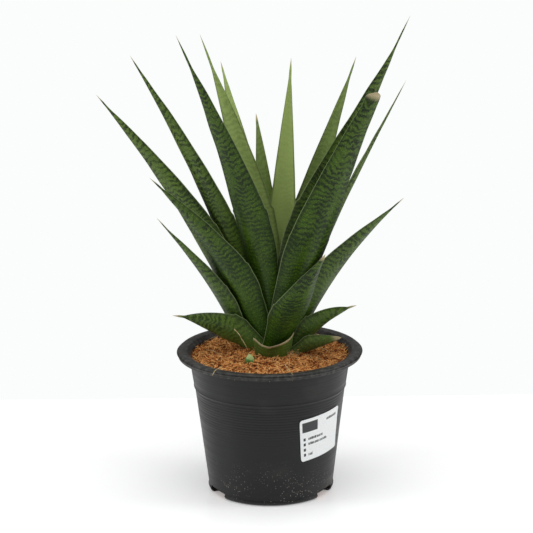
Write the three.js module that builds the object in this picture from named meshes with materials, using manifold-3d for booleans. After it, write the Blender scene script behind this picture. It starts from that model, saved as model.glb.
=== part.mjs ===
// A snake plant in a black nursery pot: a rosette of channelled, pointed leaves that grow from
// a short rhizome in coir, with one cut leaf base, one young shoot and a paper plant label.
// Millimetres, +Z up. The origin is the centre of the pot's underside, +Y is the back, -Y the front.

import * as THREE from 'three';
import { mergeVertices } from 'three/addons/utils/BufferGeometryUtils.js';
import Module from 'manifold-3d';

const wasm = await Module();
wasm.setup();

// ---- driving dimensions -------------------------------------------------------------------

const GAP = 0.3;                  // clearance between pieces that touch

const POT_HEIGHT = 119;
const POT_BASE_RADIUS = 51.8;     // outer wall just above the rounded bottom corner
const POT_LOWER_FLARE = 9.8;      // how much wider the wall is at the step than at the base
const POT_UPPER_FLARE = 4.3;      // how much it widens again from the step to the rim flange
const POT_STEP_DROP = 31;         // the small step in the wall, below the top of the rim
const POT_STEP_OUT = 0.7;         // how far the wall steps out there
const POT_WALL = 1.6;
const POT_CORNER = 8;             // radius of the rounded bottom corner
const POT_SIDES = 56;

const RIM_OVERHANG = 8.4;         // how far the rim flange stands out from the wall
const RIM_LIP = 4.8;              // height of the turned-down edge of the rim
const RIM_PLATE = 1.8;            // thickness of the rim flange
const RIM_CHAMFER = 1.2;
const MOUTH_FLARE = 0.6;          // the inside edge of the mouth slopes out by this much
const MOUTH_DEPTH = 1.4;          // over this height

const DRAIN_ANGLES = [-30, -150, 90];
const DRAIN_WIDTH = 21;
const DRAIN_HEIGHT = 4.6;

const SOIL_EDGE_DROP = 6.5;       // coir level at the wall, below the rim
const SOIL_CROWN = 6;             // how much higher the coir is around the rhizome

const RHIZOME_MARGIN = 2;         // rhizome left around the outermost leaf
const RHIZOME_DEPTH = 16;
const RHIZOME_EDGE = 2;           // bevel around its top
const RHIZOME_RISE = 1;           // how far its top stands above the coir's crown

const LABEL_WIDTH = 43;
const LABEL_HEIGHT = 37;
const LABEL_DROP = 11.5;          // top of the label, below the step in the wall
const LABEL_TILT = 5;             // it is stuck on a little askew
const LABEL_ANGLE = -44.5;        // middle of the label, from +X towards the back
const LABEL_CORNER = 2.5;
const LABEL_THICKNESS = 0.5;
const LABEL_SPANS = 5;            // flat strips in half of the label
const LABEL_CORNER_STEPS = [0, 0.3, 0.7, 1];

// The stump of a cut leaf: a low wall that wraps the front of the rosette. Heights are above
// the rhizome, and rise and slant are how much higher its sides are than its middle.
const STUB = {
  root: 25, faces: 277, lean: 7, footWidth: 22, width: 33, wrap: 0.25,
  thickness: 3, dip: 9, rise: 7, slant: 3,
};
const STUB_STEPS = [0, 0.35, 0.7, 1];
// The young shoot, beside the rhizome.
const SHOOT = { direction: 245, clearance: 0.4, radius: 4.6, height: 10, sides: 12 };

const LEAF_THICKNESS = 3.2;
const LEAF_TIP_THICKNESS = 1.6;   // where the blade ends and the hard point starts
const LEAF_THINNING = 0.35;       // share of the thickness lost along the blade
const LEAF_FOOT_WIDTH = 0.3;      // foot of a leaf, as a share of its widest place
const LEAF_WIDEST_AT = 0.4;       // share of the blade's length
const LEAF_TAPER = 1.15;          // over 1 keeps the blade broad before it narrows to its point
const CHANNEL_FOOT = 0.3;         // depth of the channel as a share of the width, at the foot
const CHANNEL_TIP = 0.16;         // and at the end of the blade
const HOOK_START = 0.55;          // share of a leaf's length after which its tip hooks upwards
const NEEDLE_WIDTH = 2.4;         // leaf width where the hard point starts
const NEEDLE_THICKNESS = 0.8;
const NEEDLE_CHANNEL = 0.2;
const NEEDLE_NARROWING = 0.6;     // share of its width lost along the hard point

// Each leaf: root = [distance from the plant's axis, direction] on the rhizome,
// tip = [distance from the axis, direction, height above the rhizome], bow = how far the middle
// hangs outwards from the straight line between them, sway = how far it bends sideways,
// hook = how far the end bends back up, width = widest place, faces = direction that its back
// faces, needle = length of its hard point, end = width where the blade stops, if it was cut or
// dried back. Directions are degrees from +X towards +Y.
const LEAVES = [
  {
    name: 'leaf_broad_front_left', root: [8, 272], tip: [89, 218, 269],
    bow: -19, sway: -2, hook: 8, width: 33, faces: 240, needle: 32,
  },
  {
    name: 'leaf_olive_left', root: [7, 108], tip: [87, 129, 249],
    bow: -23, sway: -4, hook: 14, width: 30, faces: 106, needle: 32,
  },
  {
    name: 'leaf_pale_back_left', root: [13, 114], tip: [98, 113, 222],
    bow: -15, sway: 0, hook: 3, width: 30, faces: 120, needle: 14,
  },
  {
    name: 'leaf_small_back', root: [19, 95], tip: [89, 96, 178],
    bow: -6, sway: -3, hook: 3, width: 24, faces: 97, needle: 10,
  },
  {
    name: 'leaf_upright_back', root: [13, 64], tip: [62, 71, 230],
    bow: -4, sway: 0, hook: 3, width: 25, faces: 90, needle: 18,
  },
  {
    name: 'leaf_thin_back_right', root: [19, 61], tip: [105, 45, 228],
    bow: -9, sway: 0, hook: 4, width: 28, faces: 56, needle: 20,
  },
  {
    name: 'leaf_tall_right', root: [9, 342], tip: [114, 358, 274],
    bow: -13, sway: 0, hook: 9, width: 46, faces: 318, needle: 30,
  },
  {
    name: 'leaf_broad_front_right', root: [13, 307], tip: [96, 334, 220],
    bow: -5, sway: 0, hook: 0, width: 38, faces: 298, needle: 4, end: 11,
  },
  {
    name: 'leaf_thin_right', root: [19, 9], tip: [120, 19, 214],
    bow: -13, sway: 0, hook: 8, width: 25, faces: 0, needle: 22,
  },
  {
    name: 'leaf_low_right', root: [21.5, 346], tip: [110, 354, 128],
    bow: -11, sway: 0, hook: 2, width: 46, faces: 334, needle: 14,
  },
  {
    name: 'leaf_short_front', root: [19, 286], tip: [74, 307, 94],
    bow: -2, sway: 0, hook: 0, width: 34, faces: 298, needle: 12, end: 6,
  },
  {
    name: 'leaf_arching_right', root: [27, 332], tip: [72, 352, 38],
    bow: -7, sway: 0, hook: 0, width: 30, faces: 332, needle: 8,
  },
  {
    name: 'leaf_lying_right', root: [29, 317], tip: [62, 340, 14],
    bow: -2, sway: 0, hook: 0, width: 19, faces: 328, needle: 4, end: 4,
  },
  {
    name: 'leaf_lying_left', root: [18, 240], tip: [80, 190, 32],
    bow: -7, sway: 0, hook: 0, width: 29, faces: 230, needle: 10,
  },
  {
    name: 'leaf_short_left', root: [22, 188], tip: [91, 176, 109],
    bow: -8, sway: 0, hook: 3, width: 34, faces: 196, needle: 14,
  },
  {
    name: 'leaf_banded_left', root: [12, 232], tip: [98, 196, 150],
    bow: -14, sway: 0, hook: 3, width: 36, faces: 225, needle: 16,
  },
  {
    name: 'leaf_long_left', root: [17, 166], tip: [148, 161, 203],
    bow: -14, sway: 0, hook: 3, width: 40, faces: 210, needle: 16,
  },
  {
    name: 'leaf_arched_left', root: [12, 156], tip: [119, 159, 236],
    bow: -13, sway: 0, hook: 3, width: 38, faces: 206, needle: 16,
  },
  {
    name: 'leaf_short_back_left', root: [25, 122], tip: [74, 120, 72],
    bow: -5, sway: 0, hook: 2, width: 28, faces: 122, needle: 12,
  },
  {
    name: 'leaf_short_back_right', root: [26, 80], tip: [72, 72, 66],
    bow: -5, sway: 0, hook: 2, width: 28, faces: 72, needle: 12,
  },
];

// ---- worked-out sizes ---------------------------------------------------------------------

const POT_STEP_RADIUS = POT_BASE_RADIUS + POT_LOWER_FLARE;
const POT_TOP_RADIUS = POT_STEP_RADIUS + POT_STEP_OUT + POT_UPPER_FLARE;
const POT_STEP_HEIGHT = POT_HEIGHT - POT_STEP_DROP;
const RIM_RADIUS = POT_TOP_RADIUS + RIM_OVERHANG;
const RIM_UNDER = POT_HEIGHT - RIM_PLATE;
const DRAIN_DEPTH = POT_CORNER;
const SOIL_EDGE = POT_HEIGHT - SOIL_EDGE_DROP;
const RHIZOME_RADIUS = Math.max(...LEAVES.map((size) => size.root[0])) + RHIZOME_MARGIN;
const RHIZOME_TOP = SOIL_EDGE + SOIL_CROWN + RHIZOME_RISE;
const RHIZOME_BOTTOM = RHIZOME_TOP - RHIZOME_DEPTH;
const LEAF_FOOT = RHIZOME_TOP + GAP;
const LABEL_MIDDLE = POT_STEP_HEIGHT - LABEL_DROP - LABEL_HEIGHT / 2;

const { clamp, degToRad, lerp, radToDeg } = THREE.MathUtils;
const clamp01 = (value) => clamp(value, 0, 1);

function material(color, roughness) {
  return new THREE.MeshStandardMaterial({ color, roughness, metalness: 0 });
}

const LEAF_GREEN = material(0x2f4d1c, 0.5);
const POT_BLACK = material(0x1b1c1e, 0.45);
const COIR = material(0xa8672f, 0.95);
const RHIZOME_SKIN = material(0x8a7a4a, 0.8);
const SHOOT_GREEN = material(0x5f8a3a, 0.5);
const PAPER = material(0xf2f3f3, 0.6);

const plant = new THREE.Group();

function add(name, geometry, skin) {
  const mesh = new THREE.Mesh(geometry, skin);
  mesh.name = name;
  plant.add(mesh);
}

// ---- solids -------------------------------------------------------------------------------

function toManifold(geometry) {
  const bare = geometry.clone();
  bare.deleteAttribute('normal');
  bare.deleteAttribute('uv');
  const merged = mergeVertices(bare, 1e-4);
  return new wasm.Manifold(new wasm.Mesh({
    numProp: 3,
    vertProperties: new Float32Array(merged.attributes.position.array),
    triVerts: new Uint32Array(merged.index.array),
  }));
}

function toGeometry(solid) {
  const mesh = solid.getMesh();
  const geometry = new THREE.BufferGeometry();
  geometry.setAttribute('position', new THREE.BufferAttribute(new Float32Array(mesh.vertProperties), 3));
  geometry.setIndex(new THREE.BufferAttribute(new Uint32Array(mesh.triVerts), 1));
  geometry.computeVertexNormals();
  return geometry;
}

// A solid of revolution about Z from [radius, height] points that run up the outside.
function lathe(points, sides) {
  const geometry = new THREE.LatheGeometry(points.map(([r, z]) => new THREE.Vector2(r, z)), sides);
  geometry.rotateX(Math.PI / 2);
  return geometry;
}

// ---- pot ----------------------------------------------------------------------------------

// Outer wall radius at a height above the rounded corner.
function wallRadius(z) {
  if (z < POT_STEP_HEIGHT) {
    const share = (z - POT_CORNER) / (POT_STEP_HEIGHT - POT_CORNER);
    return lerp(POT_BASE_RADIUS, POT_STEP_RADIUS, clamp01(share));
  }
  const share = (z - POT_STEP_HEIGHT) / (RIM_UNDER - POT_STEP_HEIGHT);
  return lerp(POT_STEP_RADIUS + POT_STEP_OUT, POT_TOP_RADIUS, clamp01(share));
}

// [radius, height] points round the bottom corner, for a skin this far from the corner's centre.
function cornerArc(radius) {
  return [270, 292, 315, 338, 360].map((angle) => [
    POT_BASE_RADIUS - POT_CORNER + radius * Math.cos(degToRad(angle)),
    POT_CORNER + radius * Math.sin(degToRad(angle)),
  ]);
}

function pot() {
  const lipInside = RIM_RADIUS - RIM_PLATE;
  const lipBottom = POT_HEIGHT - RIM_LIP;
  const profile = [
    [0, 0],
    ...cornerArc(POT_CORNER),
    [POT_STEP_RADIUS, POT_STEP_HEIGHT],
    [POT_STEP_RADIUS + POT_STEP_OUT, POT_STEP_HEIGHT + POT_STEP_OUT],
    [POT_TOP_RADIUS, RIM_UNDER],
    [lipInside, RIM_UNDER],
    [lipInside, lipBottom],
    [RIM_RADIUS, lipBottom],
    [RIM_RADIUS, POT_HEIGHT - RIM_CHAMFER],
    [RIM_RADIUS - RIM_CHAMFER, POT_HEIGHT],
    [POT_TOP_RADIUS + MOUTH_FLARE, POT_HEIGHT],
    [POT_TOP_RADIUS - POT_WALL, POT_HEIGHT - MOUTH_DEPTH],
    [POT_STEP_RADIUS + POT_STEP_OUT - POT_WALL, POT_STEP_HEIGHT + POT_STEP_OUT],
    [POT_STEP_RADIUS - POT_WALL, POT_STEP_HEIGHT],
    ...cornerArc(POT_CORNER - POT_WALL).reverse(),
    [0, POT_WALL],
  ];
  let solid = toManifold(lathe(profile, POT_SIDES));
  for (const angle of DRAIN_ANGLES) {
    const slot = new THREE.BoxGeometry(DRAIN_DEPTH * 2, DRAIN_WIDTH, DRAIN_HEIGHT * 2);
    slot.translate(POT_BASE_RADIUS, 0, 0);
    slot.rotateZ(degToRad(angle));
    solid = solid.subtract(toManifold(slot));
  }
  return toGeometry(solid);
}

add('pot', pot(), POT_BLACK);

// ---- coir and rhizome ---------------------------------------------------------------------

const COIR_SIDES = 40;
const COIR_STEPS = [0.25, 0.5, 0.75, 1];    // from the wall in to the rhizome
const RHIZOME_SIDES = 28;

// Height of the coir at a distance from the axis: level at the wall, a low mound in the middle.
function coirHeight(radius) {
  const share = clamp01(radius / POT_TOP_RADIUS);
  return SOIL_EDGE + SOIL_CROWN * 0.5 * (1 + Math.cos(Math.PI * share));
}

// Half the rhizome's outline: it tapers to a narrower bottom. grow is the room left around it.
function rhizomeSide(grow) {
  return [
    [0, RHIZOME_BOTTOM - grow],
    [RHIZOME_RADIUS / 2 + grow, RHIZOME_BOTTOM - grow],
    [RHIZOME_RADIUS + grow, (RHIZOME_BOTTOM + RHIZOME_TOP) / 2],
  ];
}

function coir() {
  const skin = POT_WALL + GAP;
  const edge = wallRadius(SOIL_EDGE) - skin;
  const surface = COIR_STEPS.map((share) => {
    const radius = lerp(edge, RHIZOME_RADIUS + GAP, share);
    return [radius, coirHeight(radius)];
  });
  const profile = [
    [0, skin],
    ...cornerArc(POT_CORNER - skin),
    [POT_STEP_RADIUS - skin, POT_STEP_HEIGHT],
    [edge, SOIL_EDGE],
    ...surface,
    ...rhizomeSide(GAP).reverse(),
  ];
  return lathe(profile, COIR_SIDES);
}

function rhizome() {
  const profile = [
    ...rhizomeSide(0),
    [RHIZOME_RADIUS, RHIZOME_TOP - RHIZOME_EDGE],
    [RHIZOME_RADIUS - RHIZOME_EDGE, RHIZOME_TOP],
    [0, RHIZOME_TOP],
  ];
  return lathe(profile, RHIZOME_SIDES);
}

add('coir_substrate', coir(), COIR);
add('rhizome', rhizome(), RHIZOME_SKIN);

// ---- leaves -------------------------------------------------------------------------------

const ACROSS = [-1, -0.6, 0, 0.6, 1];       // places across a leaf, margin to margin
const BLADE_STEPS = [0, 0.06, 0.14, 0.24, 0.35, 0.47, 0.59, 0.7, 0.8, 0.89, 0.96, 1];
const NEEDLE_STEP = 0.45;                   // share of the hard point where it has one more ring

function polar(distance, angle, z) {
  const turn = degToRad(angle);
  return new THREE.Vector3(distance * Math.cos(turn), distance * Math.sin(turn), z);
}

// The leaf's middle line: an arc from the foot to the tip, whose last part hooks upwards.
class Midline extends THREE.Curve {
  constructor(size) {
    super();
    const root = polar(size.root[0], size.root[1], LEAF_FOOT);
    const tip = polar(size.tip[0], size.tip[1], LEAF_FOOT + size.tip[2]);
    const chord = tip.clone().sub(root).normalize();
    const side = new THREE.Vector3(0, 0, 1).cross(chord).normalize();
    this.outward = chord.clone().cross(side).negate();
    this.hook = size.hook;
    const lowTip = tip.addScaledVector(this.outward, size.hook);
    const belly = root.clone().add(lowTip).multiplyScalar(0.5);
    belly.addScaledVector(this.outward, 2 * size.bow);
    belly.addScaledVector(side, 2 * size.sway);
    this.arc = new THREE.QuadraticBezierCurve3(root, belly, lowTip);
  }

  getPoint(t, target = new THREE.Vector3()) {
    const late = clamp01((t - HOOK_START) / (1 - HOOK_START));
    return this.arc.getPoint(t, target).addScaledVector(this.outward, -this.hook * late ** 2);
  }
}

// Blade width as a share of the widest place, from the foot (0) to the start of the needle (1).
function bladeWidth(share) {
  if (share < LEAF_WIDEST_AT) {
    const rise = Math.sin((Math.PI / 2) * (share / LEAF_WIDEST_AT)) ** 2;
    return lerp(LEAF_FOOT_WIDTH, 1, rise);
  }
  const along = (share - LEAF_WIDEST_AT) / (1 - LEAF_WIDEST_AT);
  return 1 - along ** LEAF_TAPER;
}

// Eight points round a leaf-shaped section: its back from margin to margin, then its face.
// place(s, offset) gives the point at s across the leaf, this far out of its middle surface.
function section(thickness, place) {
  const half = (s) => 0.5 * thickness * Math.sqrt(1 - s * s);
  const back = ACROSS.map((s) => place(s, half(s)));
  const face = ACROSS.slice(1, -1).reverse().map((s) => place(s, -half(s)));
  return [...back, ...face];
}

// One ring of a leaf. shape = its width, its thickness and the depth of its channel, and room is
// the space that is added all round it.
function leafRing(curve, faces, along, shape, room) {
  const centre = curve.getPointAt(along);
  const tangent = curve.getTangentAt(along);
  const outer = polar(1, faces, 0);
  outer.addScaledVector(tangent, -outer.dot(tangent)).normalize();
  const side = tangent.clone().cross(outer);
  const half = shape.width / 2;
  return section(shape.thickness + 2 * room, (s, offset) => {
    const across = s * (half + room);
    return centre.clone()
      .addScaledVector(side, across)
      .addScaledVector(outer, offset - shape.depth * (across / half) ** 2);
  });
}

// One leaf, with room added all round it for the space that it keeps from other leaves.
function leaf(size, room) {
  const curve = new Midline(size);
  const bladeEnd = 1 - size.needle / curve.getLength();
  const end = size.end ?? NEEDLE_WIDTH;
  const rings = BLADE_STEPS.map((share) => {
    const broad = bladeWidth(share);
    const width = lerp(end, size.width, broad);
    const stout = lerp(LEAF_TIP_THICKNESS, LEAF_THICKNESS, Math.sqrt(broad));
    const thickness = stout * (1 - LEAF_THINNING * share);
    const depth = width * lerp(CHANNEL_FOOT, CHANNEL_TIP, share);
    return leafRing(curve, size.faces, share * bladeEnd, { width, thickness, depth }, room);
  });
  const needle = {
    width: end * (1 - NEEDLE_STEP * NEEDLE_NARROWING),
    thickness: NEEDLE_THICKNESS,
    depth: NEEDLE_CHANNEL,
  };
  rings.push(leafRing(curve, size.faces, lerp(bladeEnd, 1, NEEDLE_STEP), needle, room));
  // The foot is cut level, where the leaf stands on the rhizome.
  const tangent = curve.getTangentAt(0);
  for (const point of rings[0]) {
    point.addScaledVector(tangent, (LEAF_FOOT - point.z) / tangent.z);
  }
  const tip = curve.getPointAt(1).addScaledVector(curve.getTangentAt(1), room);
  return closedLoft(rings, tip);
}

// Triangles that fill a leaf-shaped ring: strips between its back and its face.
function ringCap(first) {
  const across = ACROSS.length - 1;
  const count = 2 * across;
  const faces = [];
  for (let k = 0; k < across; k += 1) {
    const faceHere = first + ((count - k) % count);
    const faceNext = first + count - k - 1;
    if (k > 0) {
      faces.push(first + k, faceNext, faceHere);
    }
    if (k < across - 1) {
      faces.push(first + k, first + k + 1, faceNext);
    }
  }
  return faces;
}

// Joins rings of equal length into one closed skin, with a flat foot and a point or a cut end.
function closedLoft(rings, apex) {
  const count = rings[0].length;
  const points = rings.flat();
  const faces = ringCap(0).reverse();
  const last = (rings.length - 1) * count;
  for (let k = 0; k < count; k += 1) {
    const next = (k + 1) % count;
    for (let low = 0; low < last; low += count) {
      const high = low + count;
      faces.push(low + k, low + next, high + next, low + k, high + next, high + k);
    }
  }
  if (apex) {
    const apexIndex = points.push(apex) - 1;
    for (let k = 0; k < count; k += 1) {
      faces.push(last + k, last + ((k + 1) % count), apexIndex);
    }
  } else {
    faces.push(...ringCap(last));
  }
  return skinOf(points, faces);
}

function skinOf(points, faces) {
  const geometry = new THREE.BufferGeometry().setFromPoints(points);
  geometry.setIndex(faces);
  geometry.computeVertexNormals();
  return geometry;
}

// The stump of a leaf cut off by hand: a short wall that wraps the front of the rosette.
function cutLeafBase(room) {
  const outer = polar(1, STUB.faces, 0);
  const side = new THREE.Vector3(0, 0, 1).cross(outer);
  const rings = STUB_STEPS.map((share) => {
    const width = lerp(STUB.footWidth, STUB.width, Math.sqrt(share));
    const reach = STUB.root + STUB.lean * share;
    return section(STUB.thickness + 2 * room, (s, offset) => {
      const across = s * (width / 2 + room);
      const wrapped = STUB.wrap * width * (across / (width / 2)) ** 2;
      const edge = STUB.dip + STUB.rise * s * s + STUB.slant * s;
      return outer.clone().multiplyScalar(reach + offset - wrapped)
        .addScaledVector(side, across)
        .setZ(LEAF_FOOT + share * edge);
    });
  });
  return closedLoft(rings);
}

// The leaves that stand already: each one's solid, and the same solid with room around it.
const standing = [];

// Adds a leaf. Where leaves crowd, the new one is trimmed to leave room for those that stand.
function addLeaf(name, build) {
  const geometry = build(0);
  const whole = toManifold(geometry);
  const crowded = standing.filter((other) => whole.intersect(other.solid).volume() > 0);
  const trimmed = crowded.reduce((solid, other) => solid.subtract(other.roomy), whole);
  add(name, crowded.length > 0 ? toGeometry(trimmed) : geometry, LEAF_GREEN);
  standing.push({ solid: trimmed, roomy: toManifold(build(GAP)) });
}

for (const size of LEAVES) {
  addLeaf(size.name, (room) => leaf(size, room));
}
addLeaf('leaf_cut_base_front', cutLeafBase);

// A young shoot that has just come through the coir.
function offsetShoot() {
  const distance = RHIZOME_RADIUS + SHOOT.radius + SHOOT.clearance;
  const foot = polar(distance, SHOOT.direction, coirHeight(distance - SHOOT.radius) + GAP);
  const profile = [
    [0, 0],
    [SHOOT.radius * 0.8, 0],
    [SHOOT.radius, SHOOT.height * 0.35],
    [SHOOT.radius * 0.82, SHOOT.height * 0.7],
    [SHOOT.radius * 0.4, SHOOT.height * 0.93],
    [0, SHOOT.height],
  ];
  const geometry = lathe(profile, SHOOT.sides);
  geometry.translate(foot.x, foot.y, foot.z);
  return geometry;
}

add('offset_shoot', offsetShoot(), SHOOT_GREEN);

// ---- label --------------------------------------------------------------------------------

// A place on the label, u along it and v up it from its middle, at a distance off the pot's wall.
function onWall(u, v, off) {
  const tilt = degToRad(LABEL_TILT);
  const along = u * Math.cos(tilt) - v * Math.sin(tilt);
  const z = LABEL_MIDDLE + u * Math.sin(tilt) + v * Math.cos(tilt);
  const turn = radToDeg(along / wallRadius(LABEL_MIDDLE));
  return polar(wallRadius(z) + off, LABEL_ANGLE + turn, z);
}

// A paper label with rounded corners, bent round the sloping wall of the pot.
function plantLabel() {
  const columns = LABEL_CORNER_STEPS.map((share) => share * LABEL_CORNER);
  for (let k = 1; k <= LABEL_SPANS; k += 1) {
    columns.push(lerp(LABEL_CORNER, LABEL_WIDTH / 2, k / LABEL_SPANS));
  }
  const places = [...columns, ...columns.slice(0, -1).reverse().map((x) => LABEL_WIDTH - x)];
  const points = [];
  const faces = [];
  for (const x of places) {
    const toEdge = Math.min(x, LABEL_WIDTH - x, LABEL_CORNER);
    const inset = LABEL_CORNER - Math.sqrt(LABEL_CORNER ** 2 - (LABEL_CORNER - toEdge) ** 2);
    const half = LABEL_HEIGHT / 2 - inset;
    for (const [v, out] of [[-half, 0], [-half, 1], [half, 1], [half, 0]]) {
      points.push(onWall(x - LABEL_WIDTH / 2, v, GAP + out * LABEL_THICKNESS));
    }
  }
  const last = points.length - 4;
  faces.push(0, 1, 2, 0, 2, 3);
  for (let low = 0; low < last; low += 4) {
    for (let k = 0; k < 4; k += 1) {
      const next = (k + 1) % 4;
      faces.push(low + k, low + 4 + k, low + 4 + next, low + k, low + 4 + next, low + next);
    }
  }
  faces.push(last, last + 2, last + 1, last, last + 3, last + 2);
  return skinOf(points, faces);
}

add('plant_label', plantLabel(), PAPER);

export default plant;
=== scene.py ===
import math
from functools import partial

import bmesh
import bpy
import numpy as np
from bpy.props import FloatProperty, FloatVectorProperty, IntProperty, PointerProperty
from mathutils import Matrix, Vector, noise
from mathutils.bvhtree import BVHTree


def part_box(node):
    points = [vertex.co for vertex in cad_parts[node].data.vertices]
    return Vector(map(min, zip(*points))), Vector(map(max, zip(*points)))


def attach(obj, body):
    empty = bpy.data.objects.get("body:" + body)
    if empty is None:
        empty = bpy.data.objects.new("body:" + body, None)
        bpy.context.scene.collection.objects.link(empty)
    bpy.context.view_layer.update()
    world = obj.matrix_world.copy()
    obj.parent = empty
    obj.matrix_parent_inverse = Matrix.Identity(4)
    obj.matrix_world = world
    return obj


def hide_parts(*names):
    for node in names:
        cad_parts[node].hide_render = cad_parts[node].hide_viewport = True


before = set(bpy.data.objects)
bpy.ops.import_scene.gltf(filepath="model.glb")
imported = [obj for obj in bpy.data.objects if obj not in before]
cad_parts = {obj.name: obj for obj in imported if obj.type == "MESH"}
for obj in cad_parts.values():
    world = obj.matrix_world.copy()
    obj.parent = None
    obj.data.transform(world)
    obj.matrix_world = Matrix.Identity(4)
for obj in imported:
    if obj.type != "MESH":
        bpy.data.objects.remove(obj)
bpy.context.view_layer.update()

BODY = "root"
MM = 0.001
FULL_TURN = 2 * math.pi

bl_info = {
    "name": "Potted snake plant",
    "version": (1, 0, 0),
    "blender": (4, 5, 0),
    "location": "3D View > Sidebar > Snake plant",
    "description": "Builds the leaves, the pot, the coir and the label of a potted snake plant",
    "category": "Object",
}


# ---- small tools ---------------------------------------------------------------------------


def linear(code):
    """An sRGB hex colour, such as '#3b501a', as linear red, green, blue and alpha."""
    channels = [int(code[k:k + 2], 16) / 255 for k in (1, 3, 5)]
    curved = [c / 12.92 if c <= 0.04045 else ((c + 0.055) / 1.055) ** 2.4 for c in channels]
    return curved + [1.0]


def colour_setting(name, code, description):
    """A colour that a user can change, with an sRGB hex default."""
    return FloatVectorProperty(
        name=name, description=description, subtype="COLOR", size=4, min=0, max=1,
        default=linear(code),
    )


def length_setting(name, millimetres, description):
    """A length that a user can change, kept in metres."""
    return FloatProperty(
        name=name, description=description, default=millimetres * MM, unit="LENGTH",
        min=0, precision=5,
    )


# Short names for the nodes that come back often: Blender's own name and the fixed settings.
KINDS = {
    "plus": ("ShaderNodeMath", {"operation": "ADD"}),
    "minus": ("ShaderNodeMath", {"operation": "SUBTRACT"}),
    "times": ("ShaderNodeMath", {"operation": "MULTIPLY"}),
    "times_plus": ("ShaderNodeMath", {"operation": "MULTIPLY_ADD"}),
    "largest": ("ShaderNodeMath", {"operation": "MAXIMUM"}),
    "sine": ("ShaderNodeMath", {"operation": "SINE"}),
    "vector_plus": ("ShaderNodeVectorMath", {"operation": "ADD"}),
    "vector_minus": ("ShaderNodeVectorMath", {"operation": "SUBTRACT"}),
    "vector_times": ("ShaderNodeVectorMath", {"operation": "MULTIPLY"}),
    "vector_scale": ("ShaderNodeVectorMath", {"operation": "SCALE"}),
    "mix": ("ShaderNodeMix", {"data_type": "RGBA"}),
    "ease": ("ShaderNodeMapRange", {"interpolation_type": "SMOOTHSTEP"}),
    "ramp": ("ShaderNodeValToRGB", {}),
    "noise": ("ShaderNodeTexNoise", {"noise_dimensions": "3D"}),
    "bump": ("ShaderNodeBump", {}),
    "parts": ("ShaderNodeSeparateXYZ", {}),
    "vector": ("ShaderNodeCombineXYZ", {}),
    "attribute": ("ShaderNodeAttribute", {}),
    "random": ("FunctionNodeRandomValue", {"data_type": "FLOAT"}),
    "random_vector": ("FunctionNodeRandomValue", {"data_type": "FLOAT_VECTOR"}),
}


def wire(made, feeds):
    """Feeds a node's inputs, by name or number, each with a value, a socket, or a node for its
    first output in use. None leaves an input alone."""
    for key, value in feeds.items():
        if value is None:
            continue
        if isinstance(value, bpy.types.Node):
            value = next(socket for socket in value.outputs if socket.enabled)
        if isinstance(value, bpy.types.NodeSocket):
            made.id_data.links.new(value, made.inputs[key])
        else:
            made.inputs[key].default_value = value


def node(tree, kind, *feeds, stops=(), **settings):
    """Adds a node, by its name in KINDS or Blender's own. The feeds go to its inputs in use, in
    order, or are one dictionary by name. stops are a colour ramp's (position, colour) pairs."""
    kind, fixed = KINDS.get(kind, (kind, {}))
    made = tree.nodes.new(kind)
    for key, value in {**fixed, **settings}.items():
        setattr(made, key, value)
    if feeds and isinstance(feeds[0], dict):
        wire(made, feeds[0])
    else:
        in_use = [number for number, socket in enumerate(made.inputs) if socket.enabled]
        wire(made, dict(zip(in_use, feeds)))
    if stops:
        ramp = made.color_ramp.elements
        while len(ramp) < len(stops):
            ramp.new(0.5)
        for element, (position, colour) in zip(ramp, stops):
            element.position = position
            element.color = colour
    return made


def new_material(name, **constants):
    """A material with a Principled shader, what adds a node to it, and its object coordinates in
    millimetres. constants are set on the shader's own sockets."""
    material = bpy.data.materials.new(name)
    material.use_nodes = True
    shader = material.node_tree.nodes["Principled BSDF"]
    wire(shader, {socket.replace("_", " "): value for socket, value in constants.items()})
    add = partial(node, material.node_tree)
    place = add("vector_scale", add("ShaderNodeTexCoord").outputs["Object"], 1 / MM)
    return material, add, shader, place


def stretched_noise(add, place, stretch, detail=2.0, roughness=0.5):
    """A noise whose features are 1 / stretch millimetres long along each axis of place."""
    return add("noise", {
        "Vector": add("vector_times", place, stretch), "Scale": 1.0, "Detail": detail,
        "Roughness": roughness,
    })


def mesh_piece(name, points, faces, material, outward=True):
    """A smooth mesh object from points in metres, with its faces turned outwards."""
    mesh = bpy.data.meshes.new(name)
    mesh.from_pydata([tuple(point) for point in points], [], [tuple(face) for face in faces])
    if outward:
        turn_outwards(mesh)
    mesh.polygons.foreach_set("use_smooth", [True] * len(mesh.polygons))
    mesh.materials.append(material)
    piece = bpy.data.objects.new(name, mesh)
    bpy.context.scene.collection.objects.link(piece)
    return piece


def turn_outwards(mesh):
    """Recalculates the normals of a closed mesh."""
    work = bmesh.new()
    work.from_mesh(mesh)
    bmesh.ops.recalc_face_normals(work, faces=work.faces)
    work.to_mesh(mesh)
    work.free()


def apply_modifiers(piece):
    """Replaces a piece's mesh with its evaluated one and clears its modifiers."""
    graph = bpy.context.evaluated_depsgraph_get()
    graph.update()
    result = bpy.data.meshes.new_from_object(piece.evaluated_get(graph), depsgraph=graph)
    piece.modifiers.clear()
    old = piece.data
    piece.data = result
    bpy.data.meshes.remove(old)
    result.name = piece.name


def store(piece, name, values):
    """Stores one number or one triple for each point of a piece."""
    values = np.asarray(values, dtype=float)
    kind = "FLOAT" if values.ndim == 1 else "FLOAT_VECTOR"
    attribute = piece.data.attributes.new(name, kind, "POINT")
    attribute.data.foreach_set("value" if kind == "FLOAT" else "vector", values.ravel())


def settle(piece, slot, *nodes):
    """Fixes a finished piece to the pot's body and hides the CAD nodes it stands in for. slot is
    not used.
    """
    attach(piece, BODY)
    if nodes:
        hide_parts(*nodes)


def circle(radius, z, sides):
    """Points evenly round the axis at a height."""
    angles = [FULL_TURN * k / sides for k in range(sides)]
    return [(radius * math.cos(angle), radius * math.sin(angle), z) for angle in angles]


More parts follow.
